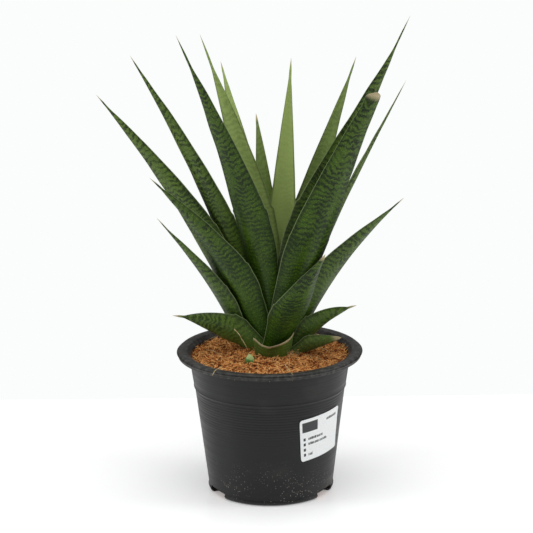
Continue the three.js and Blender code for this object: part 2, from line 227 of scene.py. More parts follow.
def band_faces(rows, count):
    """Faces between closed rings of points: rows bands, count points in each ring."""
    faces = []
    for low in range(0, rows * count, count):
        for k in range(count):
            after = (k + 1) % count
            faces.append((low + k, low + after, low + count + after, low + count + k))
    return faces


def tube_faces(rows, count):
    """Faces of a closed tube: the bands between its rings and a flat face at each end."""
    ends = [tuple(range(count))[::-1], tuple(rows * count + k for k in range(count))]
    return band_faces(rows, count) + ends


def turned(profile, sides):
    """Points and faces of a closed solid of revolution. The profile starts and ends on the axis."""
    inner = profile[1:-1]
    points = [(0, 0, profile[0][1])]
    for k in range(sides):
        angle = FULL_TURN * k / sides
        points += [(r * math.cos(angle), r * math.sin(angle), z) for r, z in inner]
    points.append((0, 0, profile[-1][1]))
    count = len(inner)
    last = len(points) - 1
    faces = []
    for k in range(sides):
        here = 1 + k * count
        there = 1 + ((k + 1) % sides) * count
        faces.append((0, there, here))
        for row in range(count - 1):
            faces.append((here + row, there + row, there + row + 1, here + row + 1))
        faces.append((here + count - 1, there + count - 1, last))
    return points, faces


def merged_copy(name):
    """A bmesh copy of a CAD node whose loose triangles are joined."""
    work = bmesh.new()
    work.from_mesh(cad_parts[name].data)
    bmesh.ops.remove_doubles(work, verts=work.verts, dist=1e-6)
    work.verts.ensure_lookup_table()
    return work


def surface_of(name):
    """A search tree of a CAD node, for reading its shape with rays."""
    work = merged_copy(name)
    tree = BVHTree.FromBMesh(work)
    work.free()
    return tree


# ---- settings ------------------------------------------------------------------------------


class PotSettings(bpy.types.PropertyGroup):
    """Sizes and colours of the nursery pot."""

    plastic: colour_setting("Plastic", "#0b0b0c", "Black moulded polypropylene")
    dust: colour_setting("Dust", "#8f8a80", "Dust and splashes low on the wall")
    ring_pitch: length_setting("Ring pitch", 2.3, "Spacing of the fine rings in the wall")
    ring_depth: length_setting("Ring depth", 0.17, "Height of the fine rings in the wall")
    sides: IntProperty(name="Sides", description="Steps round the pot", default=224, min=64)


class CoirSettings(bpy.types.PropertyGroup):
    """Sizes and colours of the coir."""

    light: colour_setting("Light fibre", "#f6bd74", "Sunlit coir fibre")
    # The dark fibre colour is painted shade for the gaps between lumps and fibres.
    dark: colour_setting("Dark fibre", "#6e3815", "Coir in the gaps")
    straw: colour_setting("Straw", "#d9c79a", "Loose pale straws")
    fibre_count: IntProperty(name="Fibres", description="Loose fibres on top", default=5000)
    crumb_count: IntProperty(name="Crumbs", description="Crumbs of pith", default=4200)
    fibre_length: length_setting("Fibre length", 15, "Longest loose fibre")
    fibre_radius: length_setting("Fibre radius", 0.26, "Half the thickness of a fibre")
    crumb_size: length_setting("Crumb size", 1.8, "Largest crumb of pith")
    clump: length_setting("Clump height", 1.5, "How lumpy the surface is")


class LeafSettings(bpy.types.PropertyGroup):
    """Sizes and colours of the leaves."""

    green: colour_setting("Green", "#375210", "Leaf skin between the bands")
    young: colour_setting("Young green", "#2c520a", "Leaf skin near the foot")
    pale: colour_setting("Pale green", "#a3b66c", "Inner faces that carry few bands")
    # This colour paints the dark cross bands and also the painted shade along each leaf's margins.
    band_and_shade: colour_setting("Band", "#15220c", "Dark cross bands")
    margin: colour_setting("Margin", "#7f8c60", "Thin horny margin")
    tip: colour_setting("Tip", "#b3a581", "Dry hard tip")
    band_pitch: length_setting("Band pitch", 2.6, "Spacing of the bands near the foot")
    foot_share: FloatProperty(
        name="Foot width", description="Width at the foot, as a share of the widest place",
        default=0.68, min=0.3, max=1,
    )
    margin_wave: length_setting("Margin wave", 0.5, "How far the margins wave")


class LabelSettings(bpy.types.PropertyGroup):
    """Size and colours of the plant label."""

    paper: colour_setting("Paper", "#eef0f0", "Coated white paper")
    ink: colour_setting("Ink", "#26282a", "Printed marks")
    width: length_setting("Width", 43, "Along the wall")
    height: length_setting("Height", 37, "Up the wall")
    corner: length_setting("Corner", 2.5, "Radius of the rounded corners")
    tilt: FloatProperty(
        name="Tilt", description="It is stuck on a little askew", default=math.radians(5),
        subtype="ANGLE",
    )


class StageSettings(bpy.types.PropertyGroup):
    """The floor, the light and the camera."""

    floor: colour_setting("Floor", "#fbfbfb", "White glossy floor")
    camera_distance: FloatProperty(
        name="Camera distance", description="From the pot's axis, along the floor",
        default=1.9, unit="LENGTH",
    )
    camera_height: FloatProperty(
        name="Camera height", description="Above the floor", default=0.6976, unit="LENGTH",
    )
    camera_pitch: FloatProperty(
        name="Camera pitch", description="Downwards", default=math.radians(15),
        subtype="ANGLE",
    )
    lens: FloatProperty(
        name="Lens", description="Focal length in millimetres on a 36 mm sensor", default=163.4,
    )


SETTINGS = {
    "snake_pot": PotSettings,
    "snake_coir": CoirSettings,
    "snake_leaf": LeafSettings,
    "snake_label": LabelSettings,
    "snake_stage": StageSettings,
}


# ---- materials -----------------------------------------------------------------------------


def pot_plastic(size):
    """Polypropylene, injection moulded: satin black with soft broad highlights, faint rings from
    the turned mould, a grey rim that is partly real scuffs and partly a painted highlight, and dust
    and dried splashes low on the wall."""
    material, add, shader, place = new_material(
        "moulded_polypropylene", Roughness=0.42, IOR=1.49, Specular_IOR_Level=0.3,
    )
    height = add("parts", place).outputs["Z"]
    rings = stretched_noise(add, place, (0.004, 0.004, 0.55), 3.0)
    cloud = stretched_noise(add, place, (0.03, 0.03, 0.05), 4.0)
    # Splashes are the few small cells of a fine cell pattern, in patches below 48 mm.
    specks = add("ShaderNodeTexVoronoi", {"Vector": place, "Scale": 0.75, "Randomness": 1.0})
    rare = add("ease", add("parts", specks.outputs["Color"]), 0.68, 0.74)
    small = add("ease", specks.outputs["Distance"], 0.34, 0.2)
    splash = add("times", add("times", rare, small), add("ease", height, 48.0, 2.0))
    splash = add("times", splash, add("ease", cloud, 0.4, 0.55))
    dusty = add("largest", splash, add("ease", cloud, 0.5, 0.75, 0.0, 0.04))
    black = add("mix", rings, size.plastic, linear("#161617"))
    # The rim, above 113 mm, is painted a lighter grey: partly real scuffs, partly a painted
    # highlight on the rim.
    scuffs = stretched_noise(add, place, (0.25, 0.25, 0.25), 4.0, 0.65)
    scuffs = add("ease", scuffs, 0.4, 0.65, 0.25, 1.0)
    scuffed_and_highlit = add("times", scuffs, add("ease", height, 112.5, 113.5))
    black = add("mix", scuffed_and_highlit, black, linear("#474643"))
    rough = add("plus", add("ease", rings, 0.3, 0.7, 0.36, 0.47), dusty, use_clamp=True)
    grain = stretched_noise(add, place, (1.6, 1.6, 1.6), 3.0)
    relief = add("plus", add("times", grain, 0.25), rings)
    wire(shader, {
        "Base Color": add("mix", dusty, black, size.dust),
        "Roughness": rough,
        "Normal": add("bump", {"Strength": 0.35, "Distance": 0.1 * MM, "Height": relief}),
    })
    return material


def coir_fibre(size):
    """Coir, the husk fibre of the coconut: dull, orange-brown and hairy, with painted shade that
    darkens the gaps.
    """
    material, add, shader, place = new_material("coir_fibre", Roughness=0.92, IOR=1.45)
    tint = add("attribute", attribute_name="tint").outputs["Fac"]
    patches = stretched_noise(add, place, (0.12, 0.12, 0.12), 3.0)
    grain = stretched_noise(add, place, (1.3, 1.3, 1.3), 4.0, 0.65)
    mottle = add("ease", add("plus", grain, patches), 0.75, 1.25)
    shade = add("times_plus", tint, 0.68, add("times", mottle, 0.38))
    # The dark end of the ramp is painted shade: low tints, as in the mound's hollows, turn near
    # black.
    colour = add("ramp", shade, stops=[
        (0.0, linear("#2a1408")), (0.3, size.dark), (0.55, linear("#c4702a")), (1.0, size.light),
    ])
    wire(shader, {
        "Base Color": colour,
        "Normal": add("bump", {"Strength": 0.6, "Distance": 0.4 * MM, "Height": grain}),
    })
    return material


def dry_straw(size):
    """Dry straw and husk hair: thin, pale, slightly glossy stalks."""
    material, add, shader, place = new_material("dry_straw", Roughness=0.55, IOR=1.45)
    along = add("ease", stretched_noise(add, place, (0.35, 0.35, 0.35), 3.0), 0.35, 0.7)
    wire(shader, {"Base Color": add("mix", along, linear("#a98a57"), size.straw)})
    return material


def rhizome_skin():
    """Rhizome skin: dull, corky and cream to brown, with rings where old leaves were."""
    material, add, shader, place = new_material("corky_rhizome_skin", Roughness=0.8, IOR=1.45)
    rings = stretched_noise(add, place, (0.05, 0.05, 0.7), 4.0)
    wire(shader, {
        "Base Color": add("mix", rings, linear("#6d5732"), linear("#b9a46c")),
        "Normal": add("bump", {"Strength": 0.5, "Distance": 0.5 * MM, "Height": rings}),
    })
    return material


def leaf_skin(size):
    """Snake plant leaf: thick, stiff and waxy. The wax gives soft pale highlights over wavy
    near-black cross bands, and a thin horny margin runs up to a hard dry tip."""
    material, add, shader, _ = new_material(
        "waxy_leaf_skin", Roughness=0.4, IOR=1.4, Specular_IOR_Level=0.28,
    )
    # leaf_place is in millimetres across and along the leaf, and the third is the leaf's own.
    place = add("attribute", attribute_name="leaf_place").outputs["Vector"]
    look = add("attribute", attribute_name="leaf_look").outputs["Vector"]
    banded, paleness, inner = add("parts", look).outputs
    where = add("attribute", attribute_name="leaf_where").outputs["Vector"]
    across, share, from_tip = add("parts", where).outputs
    phase = add("attribute", attribute_name="band_phase").outputs["Fac"]

    # The bands: a count of pitches up the leaf, pushed about by a slow and a quick noise.
    slow = stretched_noise(add, place, (0.055, 0.02, 1.0), 2.0)
    quick = stretched_noise(add, place, (0.2, 0.10, 1.0), 4.0, 0.6)
    wander = add("times_plus", quick, 2.4, add("times", slow, 5.0))
    turns = add("times", add("plus", wander, phase), FULL_TURN)
    patchy = stretched_noise(add, place, (0.10, 0.055, 1.0), 3.0)
    threshold = add("ease", patchy, 0.3, 0.7, 1.0, -0.8)
    dark = add("ease", add("minus", add("sine", turns), threshold), -0.7, 0.9)
    ragged = stretched_noise(add, place, (0.55, 0.9, 1.0), 3.0, 0.6)
    dark = add("times", dark, add("ease", ragged, 0.33, 0.58, 0.45, 1.0))
    # Inner faces carry weaker bands, and all bands fade towards the foot.
    strength = add("times", add("times_plus", inner, -0.55, 1.0), banded)
    strength = add("times", strength, add("ease", share, 0.0, 0.6, 0.42, 1.0))
    dark = add("times", dark, strength)

    # The green between them: fresh near the foot, duller towards the tip, speckled throughout.
    tone = stretched_noise(add, place, (0.09, 0.03, 1.0), 3.0)
    speckle = stretched_noise(add, place, (1.1, 0.8, 1.0), 3.0, 0.65)
    streaks = stretched_noise(add, place, (0.9, 0.035, 1.0), 3.0)
    skin = size.young
    for amount, colour in (
        (add("ease", share, 0.0, 0.35), size.green),
        (add("ease", tone, 0.35, 0.7, 0.0, 0.75), linear("#223c12")),
        (add("ease", share, 0.45, 1.0, 0.0, 0.45), linear("#50682a")),
        (paleness, size.pale),
        (add("ease", speckle, 0.48, 0.7, 0.0, 0.45), linear("#7d9630")),
        (dark, size.band_and_shade),
        (add("times", add("ease", streaks, 0.66, 0.74, 0.0, 0.5), inner), size.band_and_shade),
        # Painted shade: a darker line just inside each margin, across 0.80 to 0.95.
        (add("ease", across, 0.80, 0.95, 0.0, 0.5), size.band_and_shade),
        (add("ease", across, 0.978, 0.993, 0.0, 0.7), size.margin),
        (add("ease", from_tip, 9.0, 3.0, 0.0, 0.95), size.tip),
    ):
        skin = add("mix", amount, skin, colour)

    relief = add("times_plus", dark, -0.3, add("times", speckle, 0.3))
    wire(shader, {
        "Base Color": skin,
        "Roughness": add("ease", tone, 0.3, 0.7, 0.36, 0.5),
        "Normal": add("bump", {"Strength": 0.5, "Distance": 0.25 * MM, "Height": relief}),
    })
    return material


def shoot_skin():
    """Young shoot: smooth, waxy sheaths, green with a pale tip and pale sheath edges."""
    material, add, shader, place = new_material("young_shoot_skin", Roughness=0.38, IOR=1.45)
    share = add("attribute", attribute_name="tint").outputs["Fac"]
    mottle = stretched_noise(add, place, (0.5, 0.5, 0.5), 3.0)
    colour = add("ramp", add("times_plus", mottle, 0.35, share), stops=[
        (0.1, linear("#2a4f18")), (0.7, linear("#44702a")), (0.95, linear("#5f8a3c")),
        (1.0, linear("#9fb070")),
    ])
    wire(shader, {"Base Color": colour})
    return material


def printed_label(size):
    """Coated label paper: bright white with a slight gloss, printed with matt dark ink."""
    material, add, shader, place = new_material("coated_label_paper", Roughness=0.4, IOR=1.5)
    ink = add("attribute", attribute_name="ink").outputs["Fac"]
    fibres = add("ease", stretched_noise(add, place, (0.8, 0.8, 0.8), 3.0), 0.3, 0.8)
    paper = add("mix", fibres, size.paper, linear("#e4e6e6"))
    wire(shader, {"Base Color": add("mix", ink, paper, size.ink)})
    return material


def studio_floor(size):
    """White acrylic sheet: bright, with a faint soft reflection of what stands on it."""
    material, add, shader, place = new_material(
        "white_acrylic_floor", Roughness=0.2, IOR=1.45, Emission_Color=linear("#ffffff"),
        Emission_Strength=0.22,
    )
    cloud = stretched_noise(add, place, (0.001, 0.001, 0.001), 1.0)
    wire(shader, {"Base Color": add("mix", cloud, size.floor, linear("#f7f8f8"))})
    return material


# ---- pot -----------------------------------------------------------------------------------

POT_CORNER = 4 * MM
# The wall is read from the CAD down to here, and goes on straight below it.
POT_STRAIGHT = 9 * MM
WALL_STEP = 0.36 * MM
# The rings reach this far below the step, and fade out over this length.
RINGED = 38 * MM
RINGS_FADE = 16 * MM
HOLLOW = 0.9 * MM
LIP_ROUND = 0.75 * MM
RIM_ROUND = 1.3 * MM
MOUTH_ROUND = 1.4 * MM
BEAD_HEIGHT = 0.32 * MM
BEAD_WIDTH = 0.55 * MM
SLOT_HEIGHT = 6.5 * MM
SLOT_ROUND = 1.5 * MM
# The CAD's slots are read at this height.
SLOT_READ = 2.5 * MM
# The foot's radius as a share of the rim's, for the width and the place of the slots.
FOOT_SHARE = 0.69


class PotShape:
    """The CAD pot's outline, read with rays across it where no drain slot is."""

    def __init__(self):
        self.rim, _, self.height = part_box("pot")[1]
        self.tree = surface_of("pot")

    def outside(self, z):
        """Radius of the outer wall at a height."""
        return self.tree.ray_cast(Vector((1, 0, z)), Vector((-1, 0, 0)))[0].x

    def inside(self, z):
        """Radius of the inner wall at a height."""
        return self.tree.ray_cast(Vector((0, 0, z)), Vector((1, 0, 0)))[0].x

    def above_floor(self, radius):
        """Height of the first face above the floor at a radius."""
        return self.tree.ray_cast(Vector((radius, 0, 0)), Vector((0, 0, 1)))[0].z

    def wall_top(self):
        """Height of the underside of the rim flange."""
        return self.above_floor((self.rim + self.inside(self.height - 4 * MM)) / 2)

    def lip_bottom(self):
        """Height of the lower edge of the turned-down lip."""
        return self.above_floor(self.rim - 0.5 * MM)

    def step(self):
        """Height where the wall steps out: the steepest place between two close readings."""
        heights = np.arange(0.5 * self.height, 0.92 * self.height, 0.25 * MM)
        radii = [self.outside(float(z)) for z in heights]
        return float(heights[int(np.argmax(np.diff(radii)))])


def ring_relief(size, z, step):
    """How far the turned rings stand out at a height. They are strongest just below the step."""
    phase = z / size.ring_pitch
    beat = noise.noise(Vector((z / (9 * MM), 3.1, 0))) + 0.5 * noise.noise(Vector((phase, 0, 7.7)))
    below = min(1.0, max(0.0, (z - step + RINGED) / RINGS_FADE)) if z < step else 0.15
    strength = 0.18 + 0.82 * below
    return size.ring_depth * strength * (0.5 * math.sin(FULL_TURN * phase) + 0.7 * beat)


def arc(centre, radius, start, end, steps):
    """Points of a round stretch of an outline, angles in degrees."""
    angles = np.radians(np.linspace(start, end, steps))
    return [(centre[0] + radius * math.cos(a), centre[1] + radius * math.sin(a)) for a in angles]


def pot_outline(size, shape):
    """The pot's half outline from the middle of the underside to the middle of the floor."""
    base = shape.outside(POT_STRAIGHT)
    taper = (shape.outside(2 * POT_STRAIGHT) - base) / POT_STRAIGHT
    wall = shape.outside(40 * MM) - shape.inside(40 * MM)
    step = shape.step()
    under = shape.wall_top()
    lip = shape.lip_bottom()
    rim, top = shape.rim, shape.height
    foot = base - POT_CORNER
    inner_rim = rim - (top - under)
    # The underside is hollow inside a narrow base ring.
    outline = [(0, HOLLOW), (foot - 6 * MM, HOLLOW), (foot - 4 * MM, 0.1 * MM), (foot - 3 * MM, 0)]
    outline += arc((foot, POT_CORNER), POT_CORNER, 270, 356, 14)
    for z in np.arange(POT_CORNER, under - 1.2 * MM, WALL_STEP):
        z = float(z)
        radius = shape.outside(z) if z > POT_STRAIGHT else base - taper * (POT_STRAIGHT - z)
        bead = BEAD_HEIGHT * math.exp(-((z - step - 0.9 * MM) / BEAD_WIDTH) ** 2)
        outline.append((radius + ring_relief(size, z, step) + bead, z))
    # The rim: out under the flange, round the turned-down lip, and in over the top.
    root = shape.outside(under - 1.0 * MM)
    outline += [(root + 0.1 * MM, under - 0.9 * MM), (root + 0.5 * MM, under - 0.3 * MM)]
    outline += [(root + 1.2 * MM, under), (inner_rim - 0.6 * MM, under)]
    outline += [(inner_rim, under - 0.6 * MM), (inner_rim, lip + LIP_ROUND)]
    outline += arc((inner_rim + LIP_ROUND, lip + LIP_ROUND), LIP_ROUND, 180, 270, 5)
    outline += arc((rim - LIP_ROUND, lip + LIP_ROUND), LIP_ROUND, 270, 360, 5)
    outline += arc((rim - RIM_ROUND, top - RIM_ROUND), RIM_ROUND, 0, 90, 8)
    mouth = shape.inside(under - 1 * MM)
    outline += [(mouth + 6.3 * MM, top), (mouth + 4.8 * MM, top - 0.25 * MM)]
    outline += arc((mouth + 3.6 * MM, top - 1.7 * MM), MOUTH_ROUND, 90, 180, 6)
    for z in np.arange(under - 1 * MM, POT_STRAIGHT, -2.0 * MM):
        outline.append((shape.inside(float(z)), float(z)))
    outline += arc((foot, POT_CORNER), POT_CORNER - wall, 350, 280, 8)
    return outline + [(foot, wall), (0, wall)]


def drain_slots():
    """(direction, half angle) of each slot, read all round the CAD pot's bottom corner."""
    tree = surface_of("pot")
    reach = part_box("pot")[1][0]
    readings = []
    for degrees in range(360):
        way = Vector((math.cos(math.radians(degrees)), math.sin(math.radians(degrees)), 0))
        hit = tree.ray_cast(way * reach + Vector((0, 0, SLOT_READ)), -way)[0]
        readings.append(-reach if hit is None else hit.dot(way))
    open_at = [reading < max(readings) - 2 * MM for reading in readings]
    slots = []
    for degrees in range(360):
        if open_at[degrees] and not open_at[degrees - 1]:
            end = degrees
            while open_at[end % 360]:
                end += 1
            slots.append((math.radians((degrees + end - 1) / 2), math.radians((end - degrees) / 2)))
    return slots


def cut_drain_slots(pot):
    """Cuts round-topped drain slots through the bottom corner of the pot."""
    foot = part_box("pot")[1][0] * FOOT_SHARE
    points, faces = [], []
    for direction, half_angle in drain_slots():
        half = foot * math.sin(half_angle)
        top = SLOT_HEIGHT - SLOT_ROUND
        outline = [(-half, -2 * MM), (half, -2 * MM)]
        outline += arc((half - SLOT_ROUND, top), SLOT_ROUND, 0, 90, 5)
        outline += arc((-half + SLOT_ROUND, top), SLOT_ROUND, 90, 180, 5)
        turn = Matrix.Rotation(direction, 3, "Z")
        first = len(points)
        for reach in (foot - 8 * MM, foot + 8 * MM):
            points += [turn @ Vector((reach, y, z)) for y, z in outline]
        faces += [[first + k for k in face] for face in tube_faces(1, len(outline))]
    tool = mesh_piece("drain_cutters", points, faces, pot.data.materials[0])
    tool.data.shade_flat()
    cut = pot.modifiers.new("drains", "BOOLEAN")
    cut.operation = "DIFFERENCE"
    cut.solver = "EXACT"
    cut.object = tool
    apply_modifiers(pot)
    bpy.data.objects.remove(tool)


class SNAKEPLANT_OT_pot(bpy.types.Operator):
    """Make the nursery pot with its rings, rim and drain slots"""

    bl_idname = "snakeplant.pot"
    bl_label = "Nursery pot"

    def execute(self, context):
        size = context.scene.snake_pot
        points, faces = turned(pot_outline(size, PotShape()), size.sides)
        pot = mesh_piece("nursery_pot", points, faces, pot_plastic(size))
        cut_drain_slots(pot)
        settle(pot, "pot_plastic", "pot")
        return {"FINISHED"}


# ---- coir ----------------------------------------------------------------------------------

# The coir stands this far off the pot's inner wall, and is rounded off above the pot's floor.
COIR_GAP = 0.15 * MM
COIR_ROUND = 9 * MM
# Lumps of three sizes: how wide in millimetres, how strong, and the layer of the noise.
LUMPS = ((17, 1.1, 1.3), (6, 0.6, 5.2), (2.2, 0.3, 9.7))
CURL = 7 * MM
LIFT = 0.9 * MM


class CoirShape:
    """The coir's edge and height, read from the CAD pot and coir."""

    def __init__(self):
        low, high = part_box("coir_substrate")
        self.floor = low[2]
        self.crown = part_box("rhizome")[1][2] + 1.0 * MM
        above = Vector((0.97 * high[0], 0, 1))
        self.edge_height = surface_of("coir_substrate").ray_cast(above, Vector((0, 0, -1)))[0].z
        self.pot = PotShape()
        self.edge = self.pot.inside(self.edge_height) - COIR_GAP

    def height(self, x, y, clump):
        """Height of the lumpy surface. It buries the rhizome and sinks towards the wall."""
        share = min(1.0, math.hypot(x, y) / self.edge)
        ease = 0.5 + 0.5 * math.cos(math.pi * min(1.0, max(0.0, (share - 0.3) / 0.62)))
        smooth = self.edge_height + (self.crown - self.edge_height) * ease
        rough = sum(
            strength * noise.noise(Vector((x / (wide * MM), y / (wide * MM), own)))
            for wide, strength, own in LUMPS
        )
        calm = 0.35 + 0.65 * min(1.0, (1.0 - share) * 6)
        return smooth + clump * calm * rough

    def ring(self, radius, sides, clump):
        """Points of the surface evenly round the axis."""
        return [(x, y, self.height(x, y, clump)) for x, y, _ in circle(radius, 0, sides)]


def coir_mound(size, shape, material):
    """The coir as one closed mass that fills the pot, with a lumpy top."""
    sides, rings = 240, 100
    points, tint = [], []
    for row in range(1, rings + 1):
        radius = shape.edge * (row / rings) ** 0.85
        lumpy = shape.ring(radius, sides, size.clump)
        points += lumpy
        # Painted shade: the mound's low tint makes it the dark ground between the fibres, and the
        # tint rises with how far each lump stands above the smooth surface, so hollows are darker.
        for (_, _, z), (_, _, flat) in zip(lumpy, shape.ring(radius, sides, 0)):
            tint.append(min(1.0, max(0.0, 0.08 + 0.3 * (z - flat) / size.clump)))
    for z in np.linspace(shape.edge_height - 4 * MM, shape.floor + COIR_ROUND, 6):
        points += circle(shape.pot.inside(float(z)) - COIR_GAP, float(z), sides)
    points += circle(shape.pot.inside(COIR_ROUND) - 6 * MM, shape.floor, sides)
    rows = len(points) // sides
    faces = band_faces(rows - 1, sides)
    top = len(points)
    points += [(0, 0, shape.height(0, 0, size.clump)), (0, 0, shape.floor)]
    last = (rows - 1) * sides
    for k in range(sides):
        after = (k + 1) % sides
        faces.append((top, after, k))
        faces.append((top + 1, last + k, last + after))
    mound = mesh_piece("coir_mound", points, faces, material)
    store(mound, "tint", tint + [0.3] * (len(points) - len(tint)))
    return mound


def bed_of(shape, size):
    """An open sheet that follows the coir's top, for fibres and crumbs to grow on."""
    sides, rings = 72, 26
    points = [(0, 0, shape.height(0, 0, size.clump))]
    for row in range(1, rings + 1):
        points += shape.ring((shape.edge - 1.2 * MM) * row / rings, sides, size.clump)
    faces = [(0, 1 + k, 1 + (k + 1) % sides) for k in range(sides)]
    for low in range(1, 1 + (rings - 1) * sides, sides):
        for k in range(sides):
            after = (k + 1) % sides
            faces.append((low + k, low + sides + k, low + sides + after, low + after))
    return points, faces


class Growth:
    """A geometry node group with a mesh in, a mesh out and named inputs for its sizes."""

    def __init__(self, name, *lengths):
        self.tree = bpy.data.node_groups.new(name, "GeometryNodeTree")
        kinds = dict.fromkeys(("Density", *lengths), "Float")
        kinds.update(Seed="Int", Material="Material")
        face = self.tree.interface
        for side in ("INPUT", "OUTPUT"):
            face.new_socket("Geometry", in_out=side, socket_type="NodeSocketGeometry")
        self.sockets = {
            key: face.new_socket(key, in_out="INPUT", socket_type="NodeSocket" + kind).identifier
            for key, kind in kinds.items()
        }
        self.add = partial(node, self.tree)
        self.given = self.add("NodeGroupInput").outputs

    def grown(self, shape, turn, stretch, low_tint, high_tint, tint_seed):
        """The shape on points strewn over the bed, each copy with a tint of its own."""
        spots = self.add("GeometryNodeDistributePointsOnFaces", {
            "Mesh": self.given["Geometry"], "Density": self.given["Density"],
            "Seed": self.given["Seed"],
        })
        marked = self.add("GeometryNodeStoreNamedAttribute", {
            "Geometry": spots, "Name": "tint",
            "Value": self.add("random", low_tint, high_tint, None, tint_seed),
        }, data_type="FLOAT", domain="POINT")
        copies = self.add("GeometryNodeInstanceOnPoints", {
            "Points": marked, "Instance": shape, "Rotation": turn, "Scale": stretch,
        })
        return self.add("GeometryNodeRealizeInstances", copies)

    def pushed(self, shape, frequency, detail, middle, reach, lift=None):
        """The shape with its points pushed about by a noise, and lifted."""
        push = self.add("noise", {
            "Vector": self.add("GeometryNodeInputPosition"), "Scale": frequency, "Detail": detail,
        })
        push = self.add("vector_minus", push.outputs["Color"], middle)
        push = self.add("vector_scale", push, reach)
        if lift is not None:
            push = self.add("vector_plus", push, self.add("vector", None, None, lift))
        return self.add("GeometryNodeSetPosition", {"Geometry": shape, "Offset": push})

    def finish(self, shape):
        """Realizes the shape and gives it its material."""
        real = self.add("GeometryNodeRealizeInstances", shape)
        self.add("NodeGroupOutput", self.add("GeometryNodeSetMaterial", {
            "Geometry": real, "Material": self.given["Material"],
        }))

    def on(self, name, bed, **values):
        """Grows on a bed, and keeps the result as a plain mesh object."""
        points, faces = bed
        mesh = bpy.data.meshes.new(name)
        mesh.from_pydata(points, [], faces)
        piece = bpy.data.objects.new(name, mesh)
        bpy.context.scene.collection.objects.link(piece)
        growth = piece.modifiers.new("growth", "NODES")
        growth.node_group = self.tree
        for key, value in values.items():
            growth[self.sockets[key]] = value
        apply_modifiers(piece)
        piece.data.materials.clear()
        piece.data.materials.append(values["Material"])
        piece.data.polygons.foreach_set("material_index", [0] * len(piece.data.polygons))
        return piece


def loose_fibres():
    """Loose curly fibres, each bent its own way."""
    group = Growth("loose_fibres", "Length", "Radius", "Curl", "Lift")
    add, given = group.add, group.given
    ends = [add("vector", add("times", given["Length"], share)) for share in (-0.5, 0.5)]
    line = add("GeometryNodeCurvePrimitiveLine", *ends)
    line = add("GeometryNodeResampleCurve", {"Curve": line, "Count": 7})
    turn = add("random_vector", (-0.5, -0.5, 0.0), (0.5, 0.5, FULL_TURN), None, 11)
    stretch = add("random", 0.25, 1.0, None, 17)
    lines = group.grown(line, turn, stretch, 0.05, 1.6, 3)
    lines = group.pushed(lines, 210.0, 1.0, (0.5, 0.5, 0.42), given["Curl"], given["Lift"])
    section = add("GeometryNodeCurvePrimitiveCircle", 3, given["Radius"])
    group.finish(add("GeometryNodeCurveToMesh", {
        "Curve": lines, "Profile Curve": section, "Fill Caps": True,
    }))
    return group


def pith_crumbs():
    """Crumbs of pith: small blocky lumps of many sizes."""
    group = Growth("pith_crumbs", "Size")
    add = group.add
    lump = add("GeometryNodeMeshIcoSphere", group.given["Size"], 1)
    turn = add("random_vector", (0.0, 0.0, 0.0), (6.3, 6.3, 6.3), None, 7)
    stretch = add("random_vector", (0.2, 0.15, 0.12), (0.75, 0.5, 0.4), None, 9)
    lumps = group.grown(lump, turn, stretch, 0.1, 1.2, 5)
    group.finish(group.pushed(lumps, 1400.0, 2.0, (0.5, 0.5, 0.5), 0.6 * MM))
    return group


class SNAKEPLANT_OT_coir(bpy.types.Operator):
    """Make the coir: the mound, loose fibres and crumbs of pith"""

    bl_idname = "snakeplant.coir"
    bl_label = "Coir"

    def execute(self, context):
        size = context.scene.snake_coir
        shape = CoirShape()
        fibre = coir_fibre(size)
        settle(coir_mound(size, shape, fibre), "coir", "coir_substrate")
        bed = bed_of(shape, size)
        area = math.pi * shape.edge ** 2
        settle(loose_fibres().on(
            "coir_fibres", bed, Density=size.fibre_count / area, Length=size.fibre_length,
            Radius=size.fibre_radius, Curl=CURL, Lift=LIFT, Seed=4, Material=fibre,
        ), "coir")
        settle(pith_crumbs().on(
            "coir_crumbs", bed, Density=size.crumb_count / area, Size=size.crumb_size, Seed=8,
            Material=fibre,
        ), "coir")
        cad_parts["rhizome"].data.materials.clear()
        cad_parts["rhizome"].data.materials.append(rhizome_skin())
        return {"FINISHED"}


# ---- leaves --------------------------------------------------------------------------------

# How each leaf looks: strength of its bands, paleness of its skin.
LEAF_LOOKS = {
    "leaf_broad_front_left": (1.0, 0.0),
    "leaf_olive_left": (0.55, 0.55),
    "leaf_pale_back_left": (0.3, 0.75),
    "leaf_small_back": (0.6, 0.3),
    "leaf_upright_back": (0.2, 0.8),
    "leaf_thin_back_right": (0.6, 0.3),
    "leaf_tall_right": (0.9, 0.1),
    "leaf_broad_front_right": (1.0, 0.0),
    "leaf_thin_right": (0.7, 0.15),
    "leaf_low_right": (0.9, 0.05),
    "leaf_short_front": (1.0, 0.0),
    "leaf_arching_right": (0.7, 0.05),
    "leaf_lying_right": (0.5, 0.15),
    "leaf_lying_left": (0.8, 0.1),
    "leaf_short_left": (0.9, 0.05),
    "leaf_banded_left": (1.0, 0.0),
    "leaf_long_left": (0.9, 0.1),
    "leaf_arched_left": (0.9, 0.1),
    "leaf_short_back_left": (0.8, 0.1),
    "leaf_short_back_right": (0.8, 0.1),
}
LEAF_ROWS = 150
LEAF_COLUMNS = 26
# The foot widens up to this share of a leaf's length.
FOOT_RISE = 0.42
# A leaf's skin narrows towards its margins as this power of the way across.
MARGIN_POWER = 2.6


def ring_walk(work, start):
    """Rings of a CAD leaf's eight-point sections, one after the other from a starting set."""
    rings = []
    seen = set(start)
    level = set(start)
    while True:
        following = {e.other_vert(v) for v in level for e in v.link_edges} - seen
        if not following:
            return rings
        rings.append(ordered_ring(following, level))
        seen |= following
        level = following


def ordered_ring(ring, before):
    """A ring's points in order round it, along the edges that border the level before."""
    beside = {vert: [] for vert in ring}
    for vert in ring:
        for edge in vert.link_edges:
            other = edge.other_vert(vert)
            bordering = any(corner in before for face in edge.link_faces for corner in face.verts)
            if other in ring and bordering:
                beside[vert].append(other)
    first = min(ring, key=lambda vert: vert.index)
    order = [first, beside[first][0]]
    while len(order) < len(ring):
        order.append(next(v for v in beside[order[-1]] if v is not order[-2]))
    return [vert.co.copy() for vert in order]


